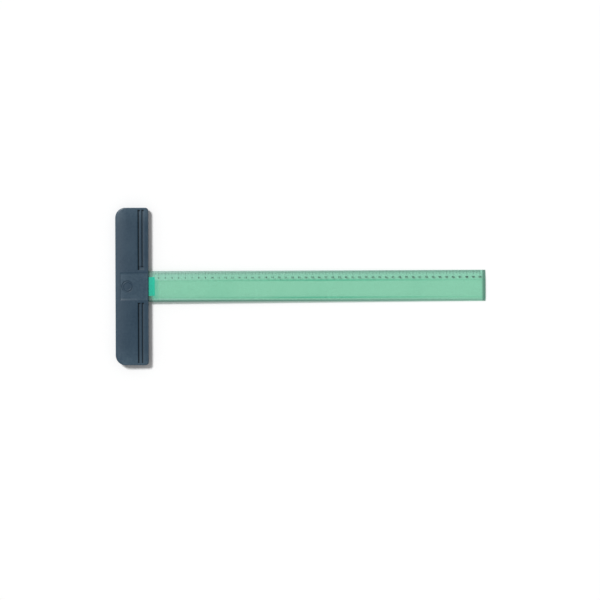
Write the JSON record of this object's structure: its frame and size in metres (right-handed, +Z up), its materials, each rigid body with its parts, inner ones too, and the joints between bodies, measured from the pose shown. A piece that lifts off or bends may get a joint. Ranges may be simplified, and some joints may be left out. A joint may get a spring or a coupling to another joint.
{
  "type": "t square",
  "caption": "Drafting T square: a moulded two-shell head that slides along a board's edge, fixed square to a long bevelled, graduated straightedge of tinted clear plastic.",
  "frame": {"origin": "on the head's working face, at half its height and on the blade's centre line; the scale's zero lies in the same plane", "axes": "+X along the blade from the working face to the free end, +Y towards the graduated edge, +Z up from the drawing board"},
  "size_m": [0.5524, 0.235, 0.0126],
  "materials": {
    "head_plastic": "satin",
    "blade_acrylic": "gloss",
    "insert_acrylic": "gloss",
    "fastener_steel": "satin"
  },
  "bodies": {
    "root": {"head_cover": "head_plastic", "head_base": "head_plastic", "blade": "blade_acrylic", "root_insert": "insert_acrylic", "cover_screw_1": "fastener_steel", "cover_screw_2": "fastener_steel", "cover_screw_3": "fastener_steel", "cover_screw_4": "fastener_steel", "clamp_screw_1": "fastener_steel", "clamp_screw_2": "fastener_steel", "clamp_screw_3": "fastener_steel", "clamp_screw_4": "fastener_steel", "dowel_1": "fastener_steel", "dowel_2": "fastener_steel"}
  },
  "joints": []
}
